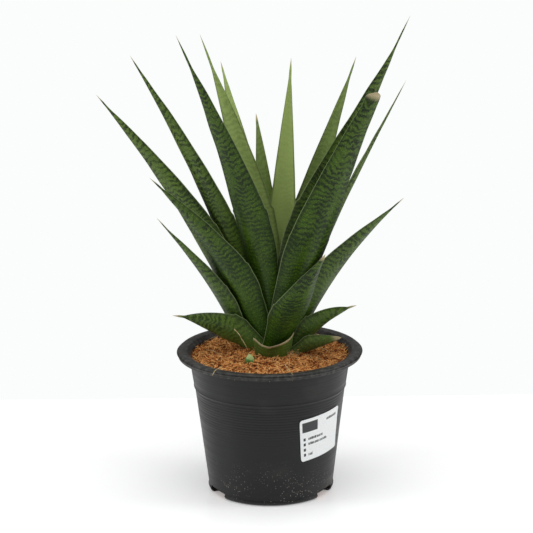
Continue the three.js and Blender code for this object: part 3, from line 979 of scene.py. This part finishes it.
class LeafLine:
    """The CAD leaf as a middle line with a frame, a width, a thickness and a channel depth."""

    def __init__(self, name):
        work = merged_copy(name)
        foot = min(vert.co.z for vert in work.verts)
        middle = sum((v.co for v in work.verts if v.co.z < foot + 1e-5), Vector()) / 8
        points = [vert for vert in work.verts if len(vert.link_edges) == 8]
        apex = max(points, key=lambda vert: (vert.co - middle).length)
        sections = [self.section(ring) for ring in ring_walk(work, [apex])][::-1]
        tip = apex.co.copy()
        work.free()
        self.align(sections)
        sections[0][1:] = [sections[1][1], sections[1][2], *sections[0][3:]]
        last = sections[-1]
        sections.append([tip, last[1], last[2], 0.05 * MM, 0.05 * MM, 0.0])
        centres = np.array([list(s[0]) for s in sections])
        gaps = np.linalg.norm(np.diff(centres, axis=0), axis=1)
        self.stations = np.concatenate([[0], np.cumsum(gaps)])
        self.length = float(self.stations[-1])
        self.values = np.array([[*s[0], *s[1], *s[2], s[3], s[4], s[5]] for s in sections])

    @staticmethod
    def section(ring):
        """[centre, side, outward, width, thickness, depth] of one eight-point ring."""
        spans = [(ring[k] - ring[k + 4]).length for k in range(4)]
        k = spans.index(max(spans))
        left, right = ring[k], ring[k + 4]
        one, two = ring[(k + 2) % 8], ring[(k + 6) % 8]
        centre = (one + two) / 2
        chord = (left + right) / 2
        back, face = (one, two) if (one - chord).length > (two - chord).length else (two, one)
        outward = (back - face).normalized()
        depth = (centre - chord).dot(outward)
        return [centre, (right - left).normalized(), outward, (right - left).length,
                (back - face).length, depth]

    @staticmethod
    def align(sections):
        """Makes sides and outward ways agree from ring to ring, starting from the widest one."""
        widest = max(range(len(sections)), key=lambda k: sections[k][3])
        for order in (range(widest + 1, len(sections)), range(widest - 1, -1, -1)):
            before = sections[widest]
            for k in order:
                here = sections[k]
                if here[1].dot(before[1]) < 0:
                    here[1] = -here[1]
                if here[2].dot(before[2]) < 0:
                    here[2] = -here[2]
                    here[5] = -here[5]
                before = here

    def at(self, where):
        """All values at distances along the leaf, by a smooth curve through the rings."""
        slopes = np.gradient(self.values, self.stations, axis=0)
        k = np.searchsorted(self.stations, where, side="right") - 1
        k = np.clip(k, 0, len(self.stations) - 2)
        span = self.stations[k + 1] - self.stations[k]
        t = ((where - self.stations[k]) / span)[:, None]
        span = span[:, None]
        h00 = 2 * t ** 3 - 3 * t ** 2 + 1
        h10 = t ** 3 - 2 * t ** 2 + t
        h01 = 3 * t ** 2 - 2 * t ** 3
        h11 = t ** 3 - t ** 2
        return (h00 * self.values[k] + h10 * span * slopes[k]
                + h01 * self.values[k + 1] + h11 * span * slopes[k + 1])


def sheet_section(back):
    """Where the points of a leaf's section lie across it, and 1, -1 or 0 for its outer face, its
    inner face and its margins."""
    last = len(back) - 1
    around = np.concatenate([back, back[-2:0:-1]])
    skin = np.concatenate([np.ones(last + 1), -np.ones(last - 1)])
    skin[0] = skin[last] = 0
    return around, skin


def sheet_faces(rows, columns):
    """Faces of a closed thick sheet whose sections have the given columns on each side."""
    count = 2 * columns
    faces = band_faces(rows, count)
    for base in (0, rows * count):
        for k in range(columns):
            other = (count - k) % count
            faces.append((base + k, base + k + 1, base + count - k - 1, base + other))
    return [tuple(dict.fromkeys(face)) for face in faces]


class SkinPoints:
    """The points of a leaf's skin, each with the marks that the leaf material reads."""

    MARKS = ("leaf_place", "leaf_look", "leaf_where", "band_phase")

    def __init__(self):
        self.points = []
        self.marks = []

    def add(self, point, *marks):
        """Adds a point: its place on the flat leaf, its look, where it is, its band count."""
        self.points.append(point)
        self.marks.append(marks)

    def piece(self, name, faces, material):
        """The mesh object with the marks stored on its points."""
        leaf = mesh_piece(name, self.points, faces, material)
        for key, values in zip(self.MARKS, zip(*self.marks)):
            store(leaf, key, values)
        return leaf


def leaf_blade(name, index, size, material):
    """One leaf as a fine closed mesh, with a broad clasping foot and gently waving margins."""
    line = LeafLine(name)
    share = 1 - (1 - np.linspace(0, 1, LEAF_ROWS)) ** 1.15
    share[-1] = 0.998
    along = share * line.length
    values = line.at(along)
    centres, sides, outwards = values[:, 0:3], values[:, 3:6], values[:, 6:9]
    widths, stouts, depths = values[:, 9], values[:, 10], values[:, 11]
    rise = np.sin(0.5 * math.pi * np.clip(share / FOOT_RISE, 0, 1)) ** 2
    broad = widths.max() * (size.foot_share + (1 - size.foot_share) * rise)
    ratio = depths / np.maximum(widths, 1e-6)
    widths = np.where(share < FOOT_RISE, np.maximum(widths, broad), widths)
    depths = ratio * widths
    sides /= np.linalg.norm(sides, axis=1)[:, None]
    outwards -= sides * np.sum(outwards * sides, axis=1)[:, None]
    outwards /= np.linalg.norm(outwards, axis=1)[:, None]

    around, skin = sheet_section(-np.cos(np.linspace(0, math.pi, LEAF_COLUMNS + 1)))
    half = 0.5 * np.sqrt(1 - np.abs(around) ** MARGIN_POWER)
    banded, paleness = LEAF_LOOKS[name]
    pitch = size.band_pitch * (1 + 1.3 * share)
    turns = np.concatenate([[0], np.cumsum(np.diff(along) / pitch[1:])])
    own = 11.0 * index
    marked = SkinPoints()
    for row in range(LEAF_ROWS):
        reach = along[row]
        fade = min(1.0, 6 * (1 - share[row])) * min(1.0, 8 * share[row])
        for s, face, stout in zip(around, skin, half):
            flutter = noise.noise(Vector((reach / (24 * MM), 1.2 * s, own)))
            swell = noise.noise(Vector((reach / (34 * MM), 2.5 * s, own + 5)))
            across = s * widths[row] / 2 * (1 + 0.03 * fade * flutter)
            lift = size.margin_wave * fade * (s * s * flutter * 1.6 + 0.6 * swell)
            out = face * stout * stouts[row] - depths[row] * s * s + lift
            marked.add(
                centres[row] + sides[row] * across + outwards[row] * out,
                (across / MM, reach / MM, 13.0 * index),
                (banded, paleness, 1.0 if face < 0 else 0.0),
                (abs(s), share[row], (line.length - reach) / MM),
                turns[row],
            )
    faces = sheet_faces(LEAF_ROWS - 1, LEAF_COLUMNS)
    return marked.piece(name.replace("leaf_", "blade_"), faces, material)


class SNAKEPLANT_OT_leaves(bpy.types.Operator):
    """Make the leaves of the rosette"""

    bl_idname = "snakeplant.leaves"
    bl_label = "Leaves"

    def execute(self, context):
        size = context.scene.snake_leaf
        material = leaf_skin(size)
        for index, name in enumerate(LEAF_LOOKS):
            settle(leaf_blade(name, index, size, material), "leaf_banded", name)
        return {"FINISHED"}


# ---- cut leaf and young shoot ---------------------------------------------------------------

STUB_BURIED = 2.5 * MM
# The stump's dry edge stands this far above the CAD's, and its wall this far in front of it.
STUB_EXTRA = 5.5 * MM
STUB_FORWARD = 2.0 * MM
# Marks on the stump: strength of its bands and paleness, and its own place in the noises.
STUB_LOOK = (0.55, 0.12)
STUB_OWN = 301.0
# Where the shoot's three sheaths end, as a share of its height, and the way each one leans.
SHEATHS = ((0.36, 0.9), (0.6, 3.4), (0.8, 5.2))
SHOOT_BURIED = 3 * MM
SHOOT_EXTRA = 1.5 * MM
SHOOT_LEAN = 1.2 * MM


class StubShape:
    """The CAD stump of the cut leaf: its foot, its top edge and how it wraps round the crown."""

    def __init__(self):
        work = merged_copy("leaf_cut_base_front")
        self.foot_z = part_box("leaf_cut_base_front")[0][2]
        foot = [vert for vert in work.verts if vert.co.z < self.foot_z + 1e-5]
        rings = [[vert.co.copy() for vert in foot]] + ring_walk(work, foot)
        work.free()
        top = rings[-1]
        centre, _, outward, self.width, _, _ = LeafLine.section(top)
        flat = Vector((outward.x, outward.y, 0)).normalized()
        self.outward = flat if flat.dot(centre) > 0 else -flat
        self.side = Vector((-self.outward.y, self.outward.x, 0))
        self.foot_reach = max(point.dot(self.outward) for point in rings[0])
        self.top_reach = max(point.dot(self.outward) for point in top)
        spread = sorted(top, key=lambda point: point.dot(self.side))
        self.dip = centre.z - self.foot_z
        self.left_rise = spread[0].z - centre.z
        self.right_rise = spread[-1].z - centre.z
        self.wrap = centre.dot(self.outward) - spread[0].dot(self.outward)

    def edge(self, s):
        """Height of the torn top edge above its middle: it dips, and its dried margin waves."""
        rise = self.right_rise if s > 0 else self.left_rise
        flutter = noise.noise(Vector((3.3 * s, 2.2, 0.4)))
        return rise * s * s + 1.1 * MM * math.sin(5.2 * s + 0.6) + 0.7 * MM * flutter


def leaf_stub(size, material):
    """The stump as a closed curved wall, thick at the foot and thin at its curled dry edge."""
    shape = StubShape()
    rows, columns = 46, 60
    around, skin = sheet_section(np.linspace(-1, 1, columns + 1))
    marked = SkinPoints()
    for row in range(rows + 1):
        share = row / rows
        width = shape.width * (0.78 + 0.22 * math.sqrt(share))
        reach = shape.foot_reach + (shape.top_reach - shape.foot_reach) * share + STUB_FORWARD
        curl = 2.2 * MM * max(0.0, share - 0.7) ** 2 / 0.09
        margin = share * 0.955 + 0.045 if share > 0.9 else share * 0.9
        for s, face in zip(around, skin):
            height = share * (shape.dip + shape.edge(s) + STUB_EXTRA) - STUB_BURIED
            stout = (3.0 - 2.2 * share ** 1.5) * MM * math.sqrt(1 - abs(s) ** 4)
            ripple = 0.5 * MM * noise.noise(Vector((2.5 * s, 3.0 * share, 8.8)))
            out = reach - shape.wrap * s * s + face * stout / 2 + ripple
            out += curl * (0.5 + 0.5 * math.cos(4.4 * s))
            spot = shape.outward * out + shape.side * (s * width / 2)
            marked.add(
                (spot.x, spot.y, shape.foot_z + height),
                (s * width / 2 / MM, height / MM, STUB_OWN),
                (*STUB_LOOK, 1.0 if face < 0 else 0.0),
                (margin, 0.1 + 0.1 * share, 60.0 * (1 - share)),
                height / size.band_pitch,
            )
    return marked.piece("cut_leaf_stub", sheet_faces(rows, columns), material)


def young_shoot(material):
    """A blunt bud with three sheaths, each one's edge standing out a little over the next."""
    low, high = (Vector(corner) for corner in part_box("offset_shoot"))
    centre = (low + high) / 2
    radius = (high.x - low.x) / 2
    tall = high.z - low.z + SHOOT_EXTRA
    rows, sides = 44, 56
    points, tint = [], []
    for row in range(rows + 1):
        share = row / rows
        belly = math.sin(math.pi * min(1.0, 0.18 + 0.82 * share) ** 0.9) ** 0.5
        lean = SHOOT_LEAN * share
        for k in range(sides):
            angle = FULL_TURN * k / sides
            ledge = 0.0
            for number, (start, tilt) in enumerate(SHEATHS):
                edge = start + 0.13 * math.cos(angle - tilt)
                ledge -= 0.07 / (1 + math.exp(-(share - edge) / 0.012)) * (1 + 0.2 * number)
            around = radius * belly * (1.04 + ledge) * (1 + 0.04 * math.cos(3 * angle + 1))
            points.append((centre.x + around * math.cos(angle) - lean,
                           centre.y + around * math.sin(angle) - 0.6 * lean,
                           low.z - SHOOT_BURIED + tall * share))
            tint.append(max(0.0, share - 0.25) + 2.5 * abs(ledge) * (share > 0.5))
    shoot = mesh_piece("young_shoot", points, tube_faces(rows, sides), material)
    store(shoot, "tint", tint)
    return shoot


class SNAKEPLANT_OT_offsets(bpy.types.Operator):
    """Make the stump of the cut leaf and the young shoot beside it"""

    bl_idname = "snakeplant.offsets"
    bl_label = "Cut leaf and shoot"

    def execute(self, context):
        size = context.scene.snake_leaf
        stub = leaf_stub(size, bpy.data.materials["waxy_leaf_skin"])
        settle(stub, "leaf_banded", "leaf_cut_base_front")
        settle(young_shoot(shoot_skin()), "shoot_skin", "offset_shoot")
        return {"FINISHED"}


# ---- straws --------------------------------------------------------------------------------

HAIRS = 34
HAIR_RADIUS = 0.11 * MM
# Loose straws: each one's thickness, and three points on it, in millimetres.
STRAWS = {
    "leaning_on_leaf": (0.525, [(-28.3, -46, 149.5), (-22.9, -44.5, 141), (-17.4, -42.5, 131)]),
    "by_the_shoot": (0.45, [(-1, -19, 120.5), (-6.5, -33, 119), (-12, -48, 117)]),
    "by_the_stub": (0.375, [(3, -21, 120.5), (-0.5, -31, 119.5), (-4, -39, 118.5)]),
    "over_the_front": (0.6, [(12, -44, 119), (14.5, -60, 119.6), (18, -76.4, 120.4)]),
    "up_from_the_front": (0.375, [(14.3, -14, 121), (15.5, -33, 121.5), (15.6, -53, 117.5)]),
    "over_the_left": (0.6, [(-39, -50, 118.5), (-42.5, -60.5, 120.2), (-45.8, -66, 117)]),
    "across_the_right": (0.6, [(24, 8, 123), (38, -1, 121), (50.5, -15, 118.5)]),
    "far_right": (0.375, [(30, -22, 119), (41, -30, 119.4), (49, -41, 117.5)]),
    "left_side": (0.45, [(-52, 6, 116.5), (-45, -9, 119), (-39, -20, 118.5)]),
    "back_left": (0.45, [(-30, 42, 119.5), (-44, 35, 119), (-55, 24, 117)]),
    "back_right": (0.45, [(20, 50, 118.8), (33, 45, 119.4), (47, 32, 118.2)]),
}


def tube(points, radius, sides=6):
    """Points and faces of a closed thin stalk along a line of points in metres. It thins to half
    its radius."""
    rings = []
    across = None
    for k, point in enumerate(points):
        before, after = points[max(0, k - 1)], points[min(len(points) - 1, k + 1)]
        way = (after - before).normalized()
        if across is None:
            across = way.orthogonal().normalized()
        across = (across - way * across.dot(way)).normalized()
        other = way.cross(across)
        share = k / (len(points) - 1)
        wide = radius * (1 - 0.5 * share ** 2)
        for corner in range(sides):
            angle = FULL_TURN * corner / sides
            rings.append(point + wide * (across * math.cos(angle) + other * math.sin(angle)))
    return rings, tube_faces(len(points) - 1, sides)


def bent_line(corners, steps, wobble, seed):
    """Points in metres on a smooth bend through three points, a little uneven."""
    start, middle, end = (Vector(corner) * MM for corner in corners)
    belly = 2 * middle - (start + end) / 2
    line = []
    for k in range(steps + 1):
        t = k / steps
        spot = (1 - t) ** 2 * start + 2 * t * (1 - t) * belly + t * t * end
        shake = noise.noise_vector(Vector((3.0 * t, seed, 0.5))) * wobble * math.sin(math.pi * t)
        line.append(spot + shake)
    return line


def joined(parts):
    """One list of points and one of faces out of several."""
    points, faces = [], []
    for some_points, some_faces in parts:
        base = len(points)
        points += some_points
        faces += [tuple(base + k for k in face) for face in some_faces]
    return points, faces


def fine_hairs():
    """Pale hairs that stick up beside the cut leaf, in the frame's millimetres."""
    parts = []
    for number in range(HAIRS):
        draw = noise.noise_vector(Vector((number * 1.7, 4.4, 0.2)))
        turn = FULL_TURN * (number * 0.618)
        foot = Vector((19 + 9 * draw.x, -24 + 11 * draw.y, 119.0))
        lean = Vector((math.cos(turn), math.sin(turn), 1.1 + draw.z)) * (3.5 + 4.5 * abs(draw.z))
        middle = foot + lean * 0.5 + Vector((draw.y, draw.x, 0.8))
        line = bent_line((foot, middle, foot + lean), 6, 0.4 * MM, number)
        parts.append(tube(line, HAIR_RADIUS, 4))
    return parts


class SNAKEPLANT_OT_straws(bpy.types.Operator):
    """Lay the loose straws and hairs on the coir and over the rim"""

    bl_idname = "snakeplant.straws"
    bl_label = "Straws"

    def execute(self, context):
        material = dry_straw(context.scene.snake_coir)
        parts = []
        for seed, (thickness, corners) in enumerate(STRAWS.values()):
            parts.append(tube(bent_line(corners, 18, 1.2 * MM, seed), thickness / 2 * MM))
        settle(mesh_piece("loose_straws", *joined(parts), material), "coir")
        settle(mesh_piece("pale_hairs", *joined(fine_hairs()), material), "coir")
        return {"FINISHED"}


# ---- label ---------------------------------------------------------------------------------


# How far the label stands off the wall, its paper's thickness, and how its corners lift.
LABEL_OFF = 0.32 * MM
PAPER = 0.18 * MM
LIFTED = 0.5 * MM / 0.3


class LabelShape:
    """Where the CAD label lies on the wall."""

    def __init__(self):
        spots = [vert.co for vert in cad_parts["plant_label"].data.vertices]
        angles = [math.atan2(spot.y, spot.x) for spot in spots]
        self.angle = (min(angles) + max(angles)) / 2
        low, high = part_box("plant_label")
        self.middle_z = (low[2] + high[2]) / 2
        self.pot = PotShape()
        self.radius = self.pot.outside(self.middle_z)

    def on_wall(self, u, v, tilt, off):
        """The point u along the label and v up it from its middle, at a distance off the wall."""
        along = u * math.cos(tilt) - v * math.sin(tilt)
        z = self.middle_z + u * math.sin(tilt) + v * math.cos(tilt)
        radius = self.pot.outside(z) + off
        angle = self.angle + along / self.radius
        return (radius * math.cos(angle), radius * math.sin(angle), z)


def label_marks(width, height):
    """Plain printed marks as (left, bottom, right, top) in millimetres from the middle: a solid
    block, a run of short dashes at the top right, and four rows that start with a small square."""
    left, top = -width / 2, height / 2
    marks = [(left + 2.2, top - 11.6, left + 16.6, top - 3.0)]
    rows = ((17.0, 15.0), (21.5, 20.0), (26.2, 0.0), (30.8, 4.0))
    for number, (drop, run) in enumerate(rows):
        base = top - drop - 1.7
        marks.append((left + 3.0, base - 0.4, left + 4.9, base + 2.1))
        marks += dashes(left + 7.4, left + 7.4 + run, base, number)
    marks += dashes(left + 26.5, left + 39.5, top - 6.6, 9)
    return marks


def dashes(start, end, base, seed):
    """A run of short uneven dashes on one line."""
    run = []
    place = start
    while place < end:
        draw = min(1.0, abs(noise.noise(Vector((place * 1.3, seed * 7.1, 0.5)))) * 1.6)
        long = 0.7 + 1.3 * draw
        run.append((place, base - 0.3, min(end, place + long), base + 1.6 + 0.6 * draw))
        place += long + 0.3
    return run


def plant_label(size, material):
    """The label as a thin closed sheet with rounded corners, bent round the wall."""
    shape = LabelShape()
    width, height, corner = size.width, size.height, size.corner
    columns, rows = 172, 148
    marks = label_marks(width / MM, height / MM)
    points, ink = [], []
    for layer in (0, 1):
        for column in range(columns + 1):
            x = width * column / columns
            toward = min(x, width - x, corner)
            inset = corner - math.sqrt(corner ** 2 - (corner - toward) ** 2)
            half = height / 2 - inset
            u = x - width / 2
            for row in range(rows + 1):
                v = half * (2 * row / rows - 1)
                far = max(0.0, abs(u) / (width / 2) + abs(v) / (height / 2) - 1.45)
                off = LABEL_OFF + layer * PAPER + LIFTED * far ** 2
                points.append(shape.on_wall(u, v, size.tilt, off))
                inked = layer == 1 and any(
                    a <= u / MM <= c and b <= v / MM <= d for a, b, c, d in marks
                )
                ink.append(1.0 if inked else 0.0)
    tall = rows + 1
    sheet = (columns + 1) * tall
    faces = []
    for column in range(columns):
        for row in range(rows):
            a = column * tall + row
            faces.append((a, a + 1, a + tall + 1, a + tall))
            faces.append((sheet + a, sheet + a + tall, sheet + a + tall + 1, sheet + a + 1))
    border = [k * tall for k in range(columns)]
    border += [columns * tall + k for k in range(rows)]
    border += [k * tall + rows for k in range(columns, 0, -1)]
    border += [k for k in range(rows, 0, -1)]
    for here, after in zip(border, border[1:] + border[:1]):
        faces.append((here, after, sheet + after, sheet + here))
    label = mesh_piece("plant_label_sheet", points, faces, material)
    store(label, "ink", ink)
    return label


class SNAKEPLANT_OT_label(bpy.types.Operator):
    """Make the paper label with its plain printed marks"""

    bl_idname = "snakeplant.label"
    bl_label = "Plant label"

    def execute(self, context):
        size = context.scene.snake_label
        settle(plant_label(size, printed_label(size)), "label_paper", "plant_label")
        return {"FINISHED"}


# ---- stage ---------------------------------------------------------------------------------


# The floor's back edge stands a little behind the pot.
FLOOR_CORNERS = ((-1.2, -1.0), (1.2, -1.0), (1.2, 0.235), (-1.2, 0.235))
# Each softbox: where it stands, where it points, its width and height, and its power.
SOFTBOXES = {
    "top_softbox": ((0.0, -0.3, 2.0), (0, 0, 0.1), 2.2, 2.2, 34),
    "left_softbox": ((-1.3, -0.3, 0.7), (0, 0, 0.2), 0.5, 1.2, 6),
    "right_softbox": ((1.3, -0.2, 0.7), (0, 0, 0.2), 0.5, 1.2, 6),
}
CAMERA_SIDE = -1.85 * MM
# A hand-held camera's slight roll, in radians.
CAMERA_ROLL = -0.0105


def area_light(name, place, aim, width, height, power):
    """A soft rectangular light at a place, turned towards another."""
    light = bpy.data.lights.new(name, "AREA")
    light.shape = "RECTANGLE"
    light.size = width
    light.size_y = height
    light.energy = power
    lamp = bpy.data.objects.new(name, light)
    turn = (Vector(aim) - Vector(place)).to_track_quat("-Z", "Y")
    lamp.matrix_world = Matrix.Translation(place) @ turn.to_matrix().to_4x4()
    bpy.context.scene.collection.objects.link(lamp)


class SNAKEPLANT_OT_stage(bpy.types.Operator):
    """Set up the floor, the studio light and the camera"""

    bl_idname = "snakeplant.stage"
    bl_label = "Stage"

    def execute(self, context):
        size = context.scene.snake_stage
        edge = [(x, y, 0) for x, y in FLOOR_CORNERS]
        floor = mesh_piece("floor", edge, [(0, 1, 2, 3)], studio_floor(size), outward=False)

        # The camera sees a bright backdrop, and the object is lit by a dimmer one.
        world = bpy.data.worlds.new("studio")
        world.use_nodes = True
        add = partial(node, world.node_tree)
        soft = add("ShaderNodeBackground", linear("#fcfdfd"), 0.28)
        bright = add("ShaderNodeBackground", linear("#fbfdfc"), 1.0)
        seen = add("ShaderNodeLightPath").outputs["Is Camera Ray"]
        both = add("ShaderNodeMixShader", seen, soft, bright)
        wire(world.node_tree.nodes["World Output"], {"Surface": both})
        context.scene.world = world
        context.scene.view_settings.view_transform = "Standard"

        for name, light in SOFTBOXES.items():
            area_light(name, *light)

        camera = bpy.data.objects.new("camera", bpy.data.cameras.new("camera"))
        camera.data.lens = size.lens
        camera.data.clip_end = 20
        place = Vector((CAMERA_SIDE, -size.camera_distance, size.camera_height))
        turn = Matrix.Rotation(math.pi / 2 - size.camera_pitch, 4, "X")
        camera.matrix_world = (
            Matrix.Translation(place) @ turn @ Matrix.Rotation(CAMERA_ROLL, 4, "Z")
        )
        context.scene.collection.objects.link(camera)
        context.scene.camera = camera
        return {"FINISHED"}


# ---- panel and registration ----------------------------------------------------------------

OPERATORS = (
    SNAKEPLANT_OT_stage,
    SNAKEPLANT_OT_pot,
    SNAKEPLANT_OT_coir,
    SNAKEPLANT_OT_leaves,
    SNAKEPLANT_OT_offsets,
    SNAKEPLANT_OT_straws,
    SNAKEPLANT_OT_label,
)


class SNAKEPLANT_PT_panel(bpy.types.Panel):
    """Buttons and settings of the potted snake plant"""

    bl_label = "Snake plant"
    bl_idname = "SNAKEPLANT_PT_panel"
    bl_space_type = "VIEW_3D"
    bl_region_type = "UI"
    bl_category = "Snake plant"

    def draw(self, context):
        for operator in OPERATORS:
            self.layout.operator(operator.bl_idname)
        for key, kind in SETTINGS.items():
            box = self.layout.box()
            for field in kind.__annotations__:
                box.prop(getattr(context.scene, key), field)


def register():
    for kind in (*SETTINGS.values(), *OPERATORS, SNAKEPLANT_PT_panel):
        bpy.utils.register_class(kind)
    for key, kind in SETTINGS.items():
        setattr(bpy.types.Scene, key, PointerProperty(type=kind))


def unregister():
    for key in SETTINGS:
        delattr(bpy.types.Scene, key)
    for kind in (SNAKEPLANT_PT_panel, *reversed(OPERATORS), *reversed(SETTINGS.values())):
        bpy.utils.unregister_class(kind)


def main():
    register()
    for operator in OPERATORS:
        group, name = operator.bl_idname.split(".")
        getattr(getattr(bpy.ops, group), name)()


if __name__ == "__main__":
    main()
